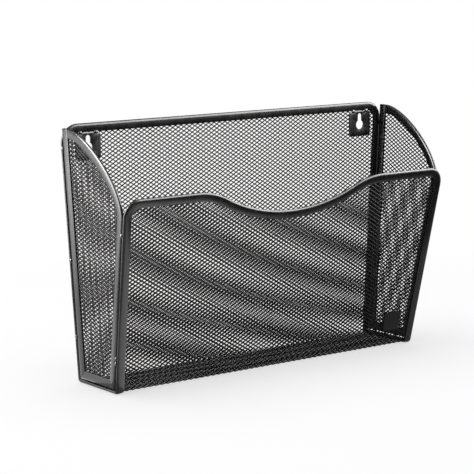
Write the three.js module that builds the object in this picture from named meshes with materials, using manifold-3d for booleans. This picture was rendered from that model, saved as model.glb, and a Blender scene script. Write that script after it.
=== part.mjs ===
import * as THREE from "three";
import { mergeGeometries, mergeVertices } from "three/addons/utils/BufferGeometryUtils.js";
import Module from "manifold-3d";

const { acos, atan, cos, hypot, sin, tan, PI } = Math;
const wasm = await Module();
wasm.setup();

// A wall-hung file rack: one open pocket of expanded steel mesh, with every edge of the
// mesh held in a pressed steel channel, welded together and coated black.
// Millimetres. +X runs along the wall, the pocket stands out from the wall towards -Y,
// and +Z is up. Heights below are counted from the underside, and the finished part is
// lowered so that its origin lies on the wall, in the middle of the back's top rail.

// The pocket, over its channels, and how far it draws in from the shoulders to the base
const shoulderWidth = 356.3;
const sideDrawIn = 10.1;
const shoulderDepth = 96.4;
const frontDrawIn = 34;
const shoulderHeight = 171.4;
const backHeight = 227.2;
const sideTopDrop = 2.9;

// The front's top edge, which dips in the middle along two arcs a side, and the inside
// radii of the rounded corners
const scoopSpan = 206;
const scoopDepth = 24.2;
const scoopMiddleArcShare = 0.7;
const frontCornerInside = 7.5;
const backCornerInside = 8;

// The side's top edge, a curve that starts level beside the back stile and comes down to the
// front stile, which it meets below the front's shoulder
const archDrop = 18.2;
const archLevelShare = 0.35;
const archSteepShare = 0.41;

// The expanded mesh, drawn with coarse diamond gaps of the real open share
const meshThickness = 0.6;
const gapPitchAcross = 40;
const gapPitchUp = 23;
const strandWidth = 5.1;
const borderStrand = 1;
const gapProbeShare = 0.6;
const patchMargin = 0.6;
const bendInside = 0.5;

// The channel, whose mouth is pinched towards the mesh
const channelWidth = 8;
const channelWall = 0.6;
const channelRound = 1.1;
const pinchLength = 1.1;
const pinchDepth = 0.4;
const seatClearance = 0.3;
const meshEndGap = 1.1;
const seam = 0.3;

// The two plates with keyholes that hang the rack on a pair of screws
const hangerThickness = 0.9;
const hangerCornerRadius = 3;
const hangerSideGap = 5.24;
const keyholeHeadRadius = 4.5;
const keyholeSlotRadius = 2.3;
const keyholeDrop = 8.5;
const keyholeTopMargin = 2.1;
const keyholeSideMargin = 8.5;
const keyholeBottomMargin = 6.6;
const screwClearance = 1;

// The plain badge on the front and the plate that backs it
const badgeWidth = 20;
const badgeHeight = 18;
const badgeThickness = 1.4;
const badgeBevel = 0.3;
const badgeCornerRadius = 1;
const badgeSideMargin = 20.6;
const badgeCentreHeight = 25.5;
const backingMargin = 2;
const backingThickness = 0.8;

// The tack welds, as low domes that bridge a seam: their places as shares of the height of
// the stile beside them, the lowest one on the front with a second one under it, and those
// of a hanger plate as a share of its half width
const weldRadius = 2.1;
const weldHeight = 0.9;
const weldCrownShare = 0.75;
const weldShoulderShare = 0.6;
const frontWeldShares = [0.92, 0.211];
const backWeldShares = [0.921, 0.486, 0.184];
const hangerWeldShare = 0.62;

// Steps of the curves, and small margins shared by several pieces
const cornerSteps = 5;
const smallCornerSteps = 2;
const scoopSteps = 7;
const archSteps = 12;
const bendSteps = 4;
const weldSides = 10;
const roundCutShare = 1 - Math.SQRT1_2;
const cutOverrun = 2;
const mergeDistance = 0.0001;

// Worked out from the sizes above
const sideHeight = backHeight - sideTopDrop;
const archSpringHeight = shoulderHeight - archDrop;
const frontCornerRadius = channelWidth + frontCornerInside;
const backCornerRadius = channelWidth + backCornerInside;
const baseWidth = shoulderWidth - 2 * sideDrawIn;
const baseDepth = shoulderDepth - frontDrawIn;
const flare = sideDrawIn / shoulderHeight;
const lean = frontDrawIn / shoulderHeight;
const flareAngle = atan(flare);
const leanAngle = atan(lean);
const halfMesh = meshThickness / 2;
const channelMouth = halfMesh + seatClearance;
const halfThickness = channelMouth + channelWall + pinchDepth;
const channelThickness = 2 * halfThickness;
const meshInset = channelWall + meshEndGap;
const netInset = channelWidth + borderStrand;
const bendRadius = halfThickness + bendInside;
const bendTurn = PI / 2 - leanAngle;
const sideGap = seam + roundCutShare * bendInside;
const wallFaceHeight = backHeight - channelWidth / 2;
const frontRun = (height) => height / cos(leanAngle);
const halfWidthAt = (height) => baseWidth / 2 + flare * height;

const blackCoat = { color: 0x1b1b1d, roughness: 0.42, metalness: 0.25 };
const meshCoat = { color: 0x141416, roughness: 0.5, metalness: 0.25 };
const badgeFinish = { color: 0x0e0e10, roughness: 0.25, metalness: 0.1 };

function piece(name, geometry, finish) {
  const mesh = new THREE.Mesh(geometry, new THREE.MeshStandardMaterial(finish));
  mesh.name = name;
  return mesh;
}

// Outlines and routes, all counterclockwise in the plane of their panel

function filletPoints(before, corner, after, radius) {
  const start = before.clone().sub(corner).normalize();
  const end = after.clone().sub(corner).normalize();
  const half = acos(start.dot(end)) / 2;
  const centre = start.clone().add(end).normalize().multiplyScalar(radius / sin(half)).add(corner);
  const first = start.multiplyScalar(radius / tan(half)).add(corner).sub(centre);
  const turn = PI - 2 * half;
  return Array.from({ length: cornerSteps + 1 }, (_, i) =>
    first.clone().rotateAround(new THREE.Vector2(), (turn * i) / cornerSteps).add(centre));
}

function mirrored(route) {
  const back = route.map((p) => new THREE.Vector2(-p.x, p.y)).reverse();
  return [...route, ...(route.at(-1).x === 0 ? back.slice(1) : back)];
}

// The front's edge from the foot of its right stile, over the shoulders and the dip
function frontRoute() {
  const top = frontRun(shoulderHeight);
  const depth = frontRun(scoopDepth);
  const turn = 2 * atan(depth / (scoopSpan / 2));
  const scoopRadius = (scoopMiddleArcShare * scoopSpan) / 2 / sin(turn);
  const shoulderRadius = scoopSpan / 2 / sin(turn) - scoopRadius;
  const foot = new THREE.Vector2(halfWidthAt(frontFootHeight), frontRun(frontFootHeight));
  const corner = new THREE.Vector2(halfWidthAt(shoulderHeight), top);
  const shoulder = new THREE.Vector2(scoopSpan / 2, top);
  const right = [foot, ...filletPoints(foot, corner, shoulder, frontCornerRadius), shoulder];
  for (let i = 1; i <= scoopSteps; i++) {
    const angle = (turn * i) / scoopSteps;
    const drop = shoulderRadius * (1 - cos(angle));
    right.push(new THREE.Vector2(scoopSpan / 2 - shoulderRadius * sin(angle), top - drop));
  }
  for (let i = scoopSteps - 1; i >= 0; i--) {
    const angle = (turn * i) / scoopSteps;
    const rise = scoopRadius * (1 - cos(angle));
    right.push(new THREE.Vector2(scoopRadius * sin(angle), top - depth + rise));
  }
  return mirrored(right);
}

function backRoute() {
  const foot = new THREE.Vector2(halfWidthAt(backFootHeight), backFootHeight);
  const corner = new THREE.Vector2(halfWidthAt(backHeight), backHeight);
  const middle = new THREE.Vector2(0, backHeight);
  return mirrored([foot, ...filletPoints(foot, corner, middle, backCornerRadius)]);
}

// The side's closed edge: x is the distance from the wall, y the height along the panel.
// It starts with the back and front bottom corners. The arch butts against the back stile,
// whose top comes last.
function sideRoute() {
  const back = channelThickness + sideGap;
  const bottom = channelThickness + sideGap;
  const top = sideHeight / cos(flareAngle);
  const slope = lean * cos(flareAngle);
  const face = baseDepth - (channelThickness + sideGap) / cos(leanAngle);
  const front = (height) => face + slope * height;
  const spring = new THREE.Vector2(front(archSpringHeight), archSpringHeight);
  const crest = new THREE.Vector2(back + channelWidth + seam / 2, top);
  const steepReach = archSteepShare * (crest.y - spring.y);
  const levelReach = archLevelShare * (spring.x - crest.x);
  const arch = new THREE.CubicBezierCurve(
    spring,
    new THREE.Vector2(slope, 1).normalize().multiplyScalar(steepReach).add(spring),
    new THREE.Vector2(levelReach, 0).add(crest),
    crest,
  );
  return [
    new THREE.Vector2(back, bottom),
    new THREE.Vector2(front(bottom), bottom),
    ...arch.getSpacedPoints(archSteps),
    new THREE.Vector2(back, top),
  ];
}

// The line of the bottom sheet seen from the left end, from the back bend to the front
// bend: x is the distance from the wall, y the height, and each point has its inward normal.
function bottomLine() {
  const frontAt = baseDepth - halfThickness / cos(leanAngle) + lean * halfThickness;
  const height = halfThickness + bendRadius;
  const backCentre = new THREE.Vector2(halfThickness + bendRadius, height);
  const frontCentre = new THREE.Vector2(frontAt - bendRadius * tan(bendTurn / 2), height);
  const line = [];
  const arc = (centre, from, to) => {
    for (let i = 0; i <= bendSteps; i++) {
      const angle = from + ((to - from) * i) / bendSteps;
      const normal = new THREE.Vector2(-cos(angle), -sin(angle));
      line.push({ at: normal.clone().multiplyScalar(-bendRadius).add(centre), normal });
    }
  };
  arc(backCentre, PI, PI * 1.5);
  arc(frontCentre, PI * 1.5, PI * 1.5 + bendTurn);
  return line;
}

const sheetLine = bottomLine();
const frontFootHeight = sheetLine.at(-1).at.y + seam * cos(leanAngle);
const backFootHeight = sheetLine[0].at.y + seam;

// Sweeping the channel

// The closed outline of the channel's section, round its outside and back through its
// inside: the first number of a point runs from the outer edge towards the mouth, the
// second through the thickness.
function channelSection() {
  const inner = halfThickness - channelWall;
  const lip = channelMouth + channelWall;
  const pinch = channelWidth - pinchLength;
  const cut = channelRound * roundCutShare;
  const outside = [
    [channelWidth, channelMouth],
    [channelWidth, lip],
    [pinch, halfThickness],
    [channelRound, halfThickness],
    [cut, halfThickness - cut],
    [0, halfThickness - channelRound],
  ];
  const inside = [
    [pinch, -inner],
    [channelWall + cut, -inner],
    [channelWall, cut - inner],
  ];
  const flip = (points) => points.map(([a, b]) => [a, -b]).reverse();
  return [...outside, ...flip(outside), ...inside, ...flip(inside)];
}

function facingOutward(geometry) {
  const { array } = geometry.attributes.position;
  const index = Array.from(geometry.index.array);
  const at = (i) => new THREE.Vector3().fromArray(array, 3 * i);
  let volume = 0;
  for (let i = 0; i < index.length; i += 3)
    volume += at(index[i]).dot(at(index[i + 1]).cross(at(index[i + 2])));
  if (volume < 0) geometry.setIndex(index.reverse());
  geometry.computeVertexNormals();
  return geometry;
}

// A closed section carried through stations, each with a place and two directions
function swept(section, stations) {
  const count = section.length;
  const positions = stations.flatMap(({ at, across, through }) =>
    section.flatMap(([a, b]) =>
      at.clone().addScaledVector(across, a).addScaledVector(through, b).toArray()));
  const index = [];
  for (let s = 0; s < stations.length - 1; s++)
    for (let i = 0; i < count; i++) {
      const here = s * count + i;
      const beside = s * count + ((i + 1) % count);
      index.push(here, beside, beside + count, here, beside + count, here + count);
    }
  const outline = section.map(([a, b]) => new THREE.Vector2(a, b));
  const turn = THREE.ShapeUtils.isClockWise(outline);
  const end = (stations.length - 1) * count;
  for (const [i, j, k] of THREE.ShapeUtils.triangulateShape(outline, [])) {
    index.push(...(turn ? [i, j, k] : [i, k, j]));
    index.push(...(turn ? [end + i, end + k, end + j] : [end + i, end + j, end + k]));
  }
  const geometry = new THREE.BufferGeometry();
  geometry.setAttribute("position", new THREE.Float32BufferAttribute(positions, 3));
  geometry.setIndex(index);
  return facingOutward(geometry);
}

// Stations on the mitre lines of a flat route. An open route's ends are cut along endCut.
function mitredStations(route, { closed = false, endCut = null } = {}) {
  const count = route.length;
  const inward = (i, j) => {
    const run = route[(j + count) % count].clone().sub(route[(i + count) % count]).normalize();
    return new THREE.Vector2(-run.y, run.x);
  };
  return route.map((point, i) => {
    const before = i > 0 || closed ? inward(i - 1, i) : null;
    const after = i < count - 1 || closed ? inward(i, i + 1) : null;
    const normal = before ?? after;
    const line = before && after ? before.clone().add(after) : (endCut ?? normal).clone();
    const mitre = line.normalize().divideScalar(line.dot(normal));
    return {
      at: new THREE.Vector3(point.x, point.y, 0),
      across: new THREE.Vector3(mitre.x, mitre.y, 0),
      through: new THREE.Vector3(0, 0, 1),
    };
  });
}

// The edge of what sits inside a channel, at a distance in from the channel's outer edge.
// In a bend tighter than that distance, the points that cross over are left out.
function insetOutline(stations, inset, closed = false) {
  const nearest = new THREE.Vector3();
  const run = closed ? [stations.at(-1), ...stations] : stations;
  const edges = run.slice(1).map(({ at }, i) => new THREE.Line3(run[i].at, at));
  return stations
    .map(({ at, across }) => at.clone().addScaledVector(across, inset))
    .filter((point) => edges.every((edge) =>
      edge.closestPointToPoint(point, true, nearest).distanceTo(point) > inset - mergeDistance))
    .map((point) => new THREE.Vector2(point.x, point.y));
}

// Draws both ends of a run of stations back along its route, to leave half a seam each
function withSeams(stations) {
  const moved = stations.map((station) => ({ ...station, at: station.at.clone() }));
  const draw = (end, next) => {
    const run = next.at.clone().sub(end.at).normalize();
    const slant = run.clone().cross(end.across.clone().normalize()).length();
    end.at.addScaledVector(run, seam / 2 / slant);
  };
  draw(moved[0], stations[1]);
  draw(moved.at(-1), stations.at(-2));
  return moved;
}

// The mesh sheets

function isInside(point, outline) {
  let inside = false;
  for (let i = 0, j = outline.length - 1; i < outline.length; j = i++) {
    const [a, b] = [outline[i], outline[j]];
    if (a.y > point.y !== b.y > point.y) {
      const crossing = ((b.x - a.x) * (point.y - a.y)) / (b.y - a.y) + a.x;
      if (point.x < crossing) inside = !inside;
    }
  }
  return inside;
}

function solidOf(geometry) {
  const plain = geometry.clone();
  plain.deleteAttribute("normal");
  plain.deleteAttribute("uv");
  const merged = mergeVertices(plain, mergeDistance);
  return new wasm.Manifold(new wasm.Mesh({
    numProp: 3,
    vertProperties: merged.attributes.position.array,
    triVerts: new Uint32Array(merged.index.array),
  }));
}

function geometryOf(solid) {
  const { vertProperties, triVerts } = solid.getMesh();
  const geometry = new THREE.BufferGeometry();
  geometry.setAttribute("position", new THREE.Float32BufferAttribute(vertProperties, 3));
  geometry.setIndex(Array.from(triVerts));
  geometry.computeVertexNormals();
  return geometry;
}

// Prisms of the diamond gaps inside a border, cut off at the border and at the plain
// patches. A gap counts if a quarter of it or so lies inside.
function gapPrisms(border, patches = []) {
  const prism = (shape) => new THREE.ExtrudeGeometry(shape, {
    depth: meshThickness + 2 * cutOverrun,
    bevelEnabled: false,
  }).translate(0, 0, -halfMesh - cutOverrun);
  const box = new THREE.Box2().setFromPoints(border);
  const reach = (gapPitchAcross * gapPitchUp) / 4 / hypot(gapPitchAcross / 2, gapPitchUp / 2);
  const open = 1 - strandWidth / 2 / reach;
  const half = new THREE.Vector2(gapPitchAcross, gapPitchUp).multiplyScalar(open / 2);
  const middle = box.getCenter(new THREE.Vector2());
  const rows = Math.ceil((box.max.y - box.min.y) / gapPitchUp) + 1;
  const columns = Math.ceil((box.max.x - box.min.x) / gapPitchAcross / 2) + 1;
  const prisms = [];
  for (let row = -rows; row <= rows; row++)
    for (let column = -columns; column <= columns; column++) {
      const shift = row % 2 === 0 ? 0 : gapPitchAcross / 2;
      const x = middle.x + column * gapPitchAcross + shift;
      const y = middle.y + (row * gapPitchUp) / 2;
      const corners = [
        new THREE.Vector2(x + half.x, y),
        new THREE.Vector2(x, y + half.y),
        new THREE.Vector2(x - half.x, y),
        new THREE.Vector2(x, y - half.y),
      ];
      const centre = new THREE.Vector2(x, y);
      const probes = corners.map((corner) => corner.clone().lerp(centre, gapProbeShare));
      if (probes.some((probe) => isInside(probe, border)))
        prisms.push(prism(new THREE.Shape(corners)));
    }
  const gaps = solidOf(mergeGeometries(prisms)).intersect(solidOf(prism(new THREE.Shape(border))));
  return patches.reduce((left, patch) => left.subtract(solidOf(prism(patch))), gaps);
}

function plainPatch(x, y, width, height) {
  const [right, top] = [x + width / 2 + patchMargin, y + height / 2 + patchMargin];
  const [left, bottom] = [2 * x - right, 2 * y - top];
  return new THREE.Shape([
    new THREE.Vector2(left, bottom),
    new THREE.Vector2(right, bottom),
    new THREE.Vector2(right, top),
    new THREE.Vector2(left, top),
  ]);
}

function netSheet(outline, border, { patches = [], holes = [] } = {}) {
  const shape = new THREE.Shape(outline);
  shape.holes = holes;
  const sheet = new THREE.ExtrudeGeometry(shape, {
    depth: meshThickness,
    bevelEnabled: false,
    curveSegments: cornerSteps,
  }).translate(0, 0, -halfMesh);
  return geometryOf(solidOf(sheet).subtract(gapPrisms(border, patches)));
}

// The bottom sheet with both bends, rolled along X, less its gaps
function bottomSheet() {
  const side = (offset) => sheetLine.map(({ at, normal }) =>
    at.clone().addScaledVector(normal, offset));
  const halfWidth = halfWidthAt(halfThickness) - meshInset;
  const ribbon = new THREE.ExtrudeGeometry(
    new THREE.Shape([...side(-halfMesh), ...side(halfMesh).reverse()]),
    { depth: 2 * halfWidth, bevelEnabled: false },
  ).translate(0, 0, -halfWidth);
  ribbon.applyMatrix4(new THREE.Matrix4().makeBasis(
    new THREE.Vector3(0, -1, 0),
    new THREE.Vector3(0, 0, 1),
    new THREE.Vector3(-1, 0, 0),
  ));
  const reach = halfWidthAt(halfThickness) - netInset;
  const back = -sheetLine[bendSteps].at.x;
  const front = -sheetLine[bendSteps + 1].at.x;
  const gaps = gapPrisms([
    new THREE.Vector2(-reach, front),
    new THREE.Vector2(reach, front),
    new THREE.Vector2(reach, back),
    new THREE.Vector2(-reach, back),
  ]);
  return geometryOf(solidOf(ribbon).subtract(gaps.translate([0, 0, halfThickness])));
}

// The channel along one end of the bottom sheet; side is -1 on the left, +1 on the right
function bottomChannel(side) {
  const stations = sheetLine.map(({ at, normal }) => ({
    at: new THREE.Vector3(side * halfWidthAt(at.y), -at.x, at.y),
    across: new THREE.Vector3(-side, 0, 0),
    through: new THREE.Vector3(0, -normal.x, normal.y),
  }));
  return swept(channelSection(), stations);
}

// Small pieces

function roundedRectangle(width, height, radius) {
  const [x, y] = [width / 2, height / 2];
  const shape = new THREE.Shape();
  shape.moveTo(-x + radius, -y);
  shape.lineTo(x - radius, -y);
  shape.absarc(x - radius, -y + radius, radius, -PI / 2, 0, false);
  shape.lineTo(x, y - radius);
  shape.absarc(x - radius, y - radius, radius, 0, PI / 2, false);
  shape.lineTo(-x + radius, y);
  shape.absarc(-x + radius, y - radius, radius, PI / 2, PI, false);
  shape.lineTo(-x, -y + radius);
  shape.absarc(-x + radius, -y + radius, radius, PI, PI * 1.5, false);
  return shape;
}

function keyhole(x, headHeight) {
  const top = headHeight + keyholeDrop;
  const meet = acos(keyholeSlotRadius / keyholeHeadRadius);
  const path = new THREE.Path();
  path.moveTo(x - keyholeSlotRadius, top);
  path.absarc(x, top, keyholeSlotRadius, PI, 0, true);
  path.lineTo(x + keyholeSlotRadius, headHeight + keyholeHeadRadius * sin(meet));
  path.absarc(x, headHeight, keyholeHeadRadius, meet, PI - meet, true);
  return path;
}

function slotHole(x, low, high, radius) {
  const path = new THREE.Path();
  path.moveTo(x - radius, high);
  path.absarc(x, high, radius, PI, 0, true);
  path.lineTo(x + radius, low);
  path.absarc(x, low, radius, 0, PI, true);
  return path;
}

const hangerWidth = 2 * (keyholeHeadRadius + keyholeSideMargin);
const plateTop = backHeight - channelWidth - seam;
const slotTop = plateTop - keyholeTopMargin - keyholeSlotRadius;
const headHeight = slotTop - keyholeDrop;
const hangerHeight = plateTop - headHeight + keyholeHeadRadius + keyholeBottomMargin;
const plateCentre = plateTop - hangerHeight / 2;
const hangerX = halfWidthAt(plateCentre) - channelWidth - hangerSideGap - hangerWidth / 2;

function hangerPlate(side) {
  const shape = roundedRectangle(hangerWidth, hangerHeight, hangerCornerRadius);
  shape.holes.push(keyhole(0, headHeight - plateCentre));
  return new THREE.ExtrudeGeometry(shape, {
    depth: hangerThickness,
    bevelEnabled: false,
    curveSegments: cornerSteps,
  }).translate(side * hangerX, plateCentre, halfMesh + seatClearance);
}

const badgeX = halfWidthAt(badgeCentreHeight) - badgeSideMargin - badgeWidth / 2;

function badgePlate() {
  const shape = roundedRectangle(
    badgeWidth - 2 * badgeBevel,
    badgeHeight - 2 * badgeBevel,
    badgeCornerRadius - badgeBevel,
  );
  return new THREE.ExtrudeGeometry(shape, {
    depth: badgeThickness - 2 * badgeBevel,
    bevelThickness: badgeBevel,
    bevelSize: badgeBevel,
    bevelSegments: 1,
    curveSegments: smallCornerSteps,
  }).translate(badgeX, frontRun(badgeCentreHeight), halfMesh + seatClearance + badgeBevel);
}

function badgeBacking() {
  const shape = roundedRectangle(
    badgeWidth - 2 * backingMargin,
    badgeHeight - 2 * backingMargin,
    badgeCornerRadius,
  );
  const behind = -halfMesh - seatClearance - backingThickness;
  return new THREE.ExtrudeGeometry(shape, {
    depth: backingThickness,
    bevelEnabled: false,
    curveSegments: smallCornerSteps,
  }).translate(badgeX, frontRun(badgeCentreHeight), behind);
}

// A dome at each place on a panel, standing along the panel's normal or against it
function tackWelds(name, places, stand, direction) {
  const profile = [
    new THREE.Vector2(0, 0),
    new THREE.Vector2(weldRadius, 0),
    new THREE.Vector2(weldRadius * weldCrownShare, weldHeight * weldShoulderShare),
    new THREE.Vector2(0, weldHeight),
  ];
  return places.map((place, i) => {
    const dome = new THREE.LatheGeometry(profile, weldSides).rotateX((direction * PI) / 2);
    return piece(`${name}_${i + 1}`, dome.translate(place.x, place.y, direction * stand), blackCoat);
  });
}

// Panels

function frontPanel() {
  const stations = mitredStations(frontRoute(), { endCut: new THREE.Vector2(-1, 0) });
  const badge = plainPatch(badgeX, frontRun(badgeCentreHeight), badgeWidth, badgeHeight);
  const panel = new THREE.Group();
  panel.add(
    piece(
      "front_mesh",
      netSheet(insetOutline(stations, meshInset), insetOutline(stations, netInset), {
        patches: [badge],
      }),
      meshCoat,
    ),
    piece("front_rim", swept(channelSection(), stations), blackCoat),
    piece("badge_plate", badgePlate(), badgeFinish),
    piece("badge_backing", badgeBacking(), blackCoat),
  );
  panel.rotation.x = PI / 2 + leanAngle;
  panel.position.y = halfThickness / cos(leanAngle) - baseDepth;
  return panel;
}

function backPanel() {
  const stations = mitredStations(backRoute(), { endCut: new THREE.Vector2(-1, 0) });
  const places = [-hangerX, hangerX];
  const patches = places.map((x) => plainPatch(x, plateCentre, hangerWidth, hangerHeight));
  const holeRadius = keyholeHeadRadius + screwClearance;
  const holes = places.map((x) => slotHole(x, headHeight, slotTop, holeRadius));
  const panel = new THREE.Group();
  panel.add(
    piece(
      "back_mesh",
      netSheet(insetOutline(stations, meshInset), insetOutline(stations, netInset), {
        patches,
        holes,
      }),
      meshCoat,
    ),
    piece("back_rim", swept(channelSection(), stations), blackCoat),
  );
  for (const [name, side] of [["left", -1], ["right", 1]]) {
    const seamHeight = plateTop + seam / 2;
    const offset = (hangerWeldShare * hangerWidth) / 2;
    const corners = [-offset, offset].map((across) =>
      new THREE.Vector2(side * hangerX + across, seamHeight));
    const stand = halfMesh + seatClearance + hangerThickness + seatClearance;
    panel.add(
      piece(`${name}_hanger_plate`, hangerPlate(side), blackCoat),
      ...tackWelds(`${name}_hanger_weld`, corners, stand, 1),
    );
  }
  panel.rotation.x = PI / 2;
  panel.position.y = -halfThickness;
  return panel;
}

// One side; the panel's own z axis points out of the rack on the left and into it on the
// right, because both sides share one drawing.
function sidePanel(name, side) {
  const route = sideRoute();
  const stations = mitredStations(route, { closed: true });
  const frontSeam = (height) =>
    baseDepth + lean * height - (channelThickness + sideGap / 2) / cos(leanAngle);
  const along = (height) => height / cos(flareAngle);
  const frontHeights = frontWeldShares.map((share) => share * archSpringHeight);
  frontHeights.push(frontHeights.at(-1) - 2 * weldRadius - seam);
  const frontPlaces = frontHeights.map((height) =>
    new THREE.Vector2(frontSeam(height), along(height)));
  const backPlaces = backWeldShares.map((share) =>
    new THREE.Vector2(channelThickness + sideGap / 2, share * along(sideHeight)));
  const stand = halfThickness + seatClearance;
  const section = channelSection();
  const stileTop = { ...stations.at(-1), across: new THREE.Vector3(1, 0, 0) };
  const archEnd = { ...stations.at(-2), across: new THREE.Vector3(0, -1, 0) };
  const archStations = withSeams([...stations.slice(1, -2), archEnd]);
  const panel = new THREE.Group();
  panel.add(
    piece(
      `${name}_side_mesh`,
      netSheet(insetOutline(stations, meshInset, true), insetOutline(stations, netInset, true)),
      meshCoat,
    ),
    piece(`${name}_bottom_rail`, swept(section, withSeams(stations.slice(0, 2))), blackCoat),
    piece(`${name}_arch`, swept(section, archStations), blackCoat),
    piece(
      `${name}_back_stile`,
      swept(section, withSeams([stileTop, stations[0]])),
      blackCoat,
    ),
    ...tackWelds(`${name}_front_weld`, frontPlaces, stand, -side),
    ...tackWelds(`${name}_back_weld`, backPlaces, stand, -side),
  );
  const forward = new THREE.Vector3(0, -1, 0);
  const up = new THREE.Vector3(side * sin(flareAngle), 0, cos(flareAngle));
  const across = forward.clone().cross(up);
  panel.setRotationFromMatrix(new THREE.Matrix4().makeBasis(forward, up, across));
  panel.position.x = side * (baseWidth / 2 - halfThickness / cos(flareAngle));
  return panel;
}

function bottomPanel() {
  const panel = new THREE.Group();
  panel.add(
    piece("bottom_mesh", bottomSheet(), meshCoat),
    piece("left_bottom_channel", bottomChannel(-1), blackCoat),
    piece("right_bottom_channel", bottomChannel(1), blackCoat),
  );
  return panel;
}

const rack = new THREE.Group();
rack.add(frontPanel(), backPanel(), bottomPanel(), sidePanel("left", -1), sidePanel("right", 1));
rack.position.z = -wallFaceHeight;

export default rack;
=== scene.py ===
import math
from collections import namedtuple

import bmesh
import bpy
import numpy as np
from bpy.props import FloatProperty, FloatVectorProperty, IntProperty, PointerProperty
from bpy.types import Operator, Panel, PropertyGroup
from mathutils import Matrix, Vector, noise


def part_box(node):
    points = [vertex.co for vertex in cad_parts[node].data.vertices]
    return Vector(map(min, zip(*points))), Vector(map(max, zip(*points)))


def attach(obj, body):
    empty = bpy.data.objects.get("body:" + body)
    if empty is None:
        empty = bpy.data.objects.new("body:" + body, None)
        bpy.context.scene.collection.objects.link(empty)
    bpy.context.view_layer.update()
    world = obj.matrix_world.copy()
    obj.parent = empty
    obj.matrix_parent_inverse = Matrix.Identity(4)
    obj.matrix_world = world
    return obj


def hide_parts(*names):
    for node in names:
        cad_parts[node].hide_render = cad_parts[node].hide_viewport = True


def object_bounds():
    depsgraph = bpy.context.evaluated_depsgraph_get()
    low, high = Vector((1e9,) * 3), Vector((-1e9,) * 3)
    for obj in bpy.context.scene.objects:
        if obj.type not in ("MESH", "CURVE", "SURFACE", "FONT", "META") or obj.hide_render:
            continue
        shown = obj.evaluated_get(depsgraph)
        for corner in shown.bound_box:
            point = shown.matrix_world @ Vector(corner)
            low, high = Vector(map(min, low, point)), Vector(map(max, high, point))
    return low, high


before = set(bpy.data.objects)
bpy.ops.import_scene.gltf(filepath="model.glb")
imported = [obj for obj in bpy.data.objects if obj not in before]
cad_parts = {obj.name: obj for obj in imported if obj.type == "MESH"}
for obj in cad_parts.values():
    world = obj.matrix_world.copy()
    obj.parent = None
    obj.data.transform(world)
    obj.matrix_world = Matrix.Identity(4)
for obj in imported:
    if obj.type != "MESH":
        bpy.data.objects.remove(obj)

bl_info = {
    "name": "Hanging File Rack",
    "version": (1, 0, 0),
    "blender": (4, 5, 0),
    "location": "3D View > Sidebar > File Rack",
    "description": "Dresses a wall-hung file rack of expanded steel mesh around its packed frame",
    "category": "Add Mesh",
}

CAD_LOW, CAD_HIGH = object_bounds()
SIDES = {"left": -1, "right": 1}


# The sizes and finishes that can be changed in the sidebar


class PocketSizes(PropertyGroup):
    shoulder_width: FloatProperty(
        name="Shoulder Width", description="Width over the front's top corners",
        default=0.3563, unit="LENGTH")
    side_draw_in: FloatProperty(
        name="Side Draw-In", description="How far each side draws in from shoulder to base",
        default=0.0101, unit="LENGTH")
    shoulder_depth: FloatProperty(
        name="Shoulder Depth", description="Depth from the wall at the front's top edge",
        default=0.0964, unit="LENGTH")
    front_draw_in: FloatProperty(
        name="Front Draw-In", description="How far the front draws in from shoulder to base",
        default=0.034, unit="LENGTH")
    shoulder_height: FloatProperty(
        name="Shoulder Height", description="Height of the front's top edge",
        default=0.1714, unit="LENGTH")
    back_height: FloatProperty(
        name="Back Height", description="Height of the back's top edge",
        default=CAD_HIGH.z - CAD_LOW.z, unit="LENGTH")
    side_top_drop: FloatProperty(
        name="Side Top Drop", description="How far the sides end below the back's top edge",
        default=0.0029, unit="LENGTH")
    scoop_span: FloatProperty(
        name="Scoop Span", description="Width of the dip in the front's top edge",
        default=0.206, unit="LENGTH")
    scoop_depth: FloatProperty(
        name="Scoop Depth", description="Depth of the dip in the front's top edge",
        default=0.0242, unit="LENGTH")
    scoop_middle_share: FloatProperty(
        name="Scoop Middle Share", description="Share of the dip taken by its hollow arc",
        default=0.7, subtype="FACTOR", min=0, max=1)
    front_corner: FloatProperty(
        name="Front Corner Radius", description="Outer radius of the front's top corners",
        default=0.0155, unit="LENGTH")
    back_corner: FloatProperty(
        name="Back Corner Radius", description="Outer radius of the back's top corners",
        default=0.016, unit="LENGTH")
    arch_drop: FloatProperty(
        name="Arch Drop", description="How far below the shoulder the side's curve starts",
        default=0.0182, unit="LENGTH")
    arch_level_share: FloatProperty(
        name="Arch Level Share", description="How long the side's curve stays level at the back",
        default=0.35, subtype="FACTOR", min=0, max=1)
    arch_steep_share: FloatProperty(
        name="Arch Steep Share", description="How long the side's curve stays steep at the front",
        default=0.41, subtype="FACTOR", min=0, max=1)
    bend_inside: FloatProperty(
        name="Bend Inside Radius", description="Inside radius of the two bends at the base",
        default=0.0005, unit="LENGTH")


class ChannelSizes(PropertyGroup):
    width: FloatProperty(
        name="Width", description="Width of the channel's face", default=0.008, unit="LENGTH")
    thickness: FloatProperty(
        name="Thickness", description="Thickness of the channel", default=0.0032, unit="LENGTH")
    wall: FloatProperty(
        name="Wall", description="Thickness of the channel's steel", default=0.0005, unit="LENGTH")
    round: FloatProperty(
        name="Round", description="How far the closed edge's rounding reaches over the face",
        default=0.0024, unit="LENGTH")
    lip_round: FloatProperty(
        name="Lip Round", description="Outer radius of the channel's lips",
        default=0.0002, unit="LENGTH")
    draw_in: FloatProperty(
        name="Draw-In", description="How far each lip is drawn in towards the mesh",
        default=0.0006, unit="LENGTH")
    seam: FloatProperty(
        name="Seam", description="Width of the groove between two welded lengths",
        default=0.0005, unit="LENGTH")


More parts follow.
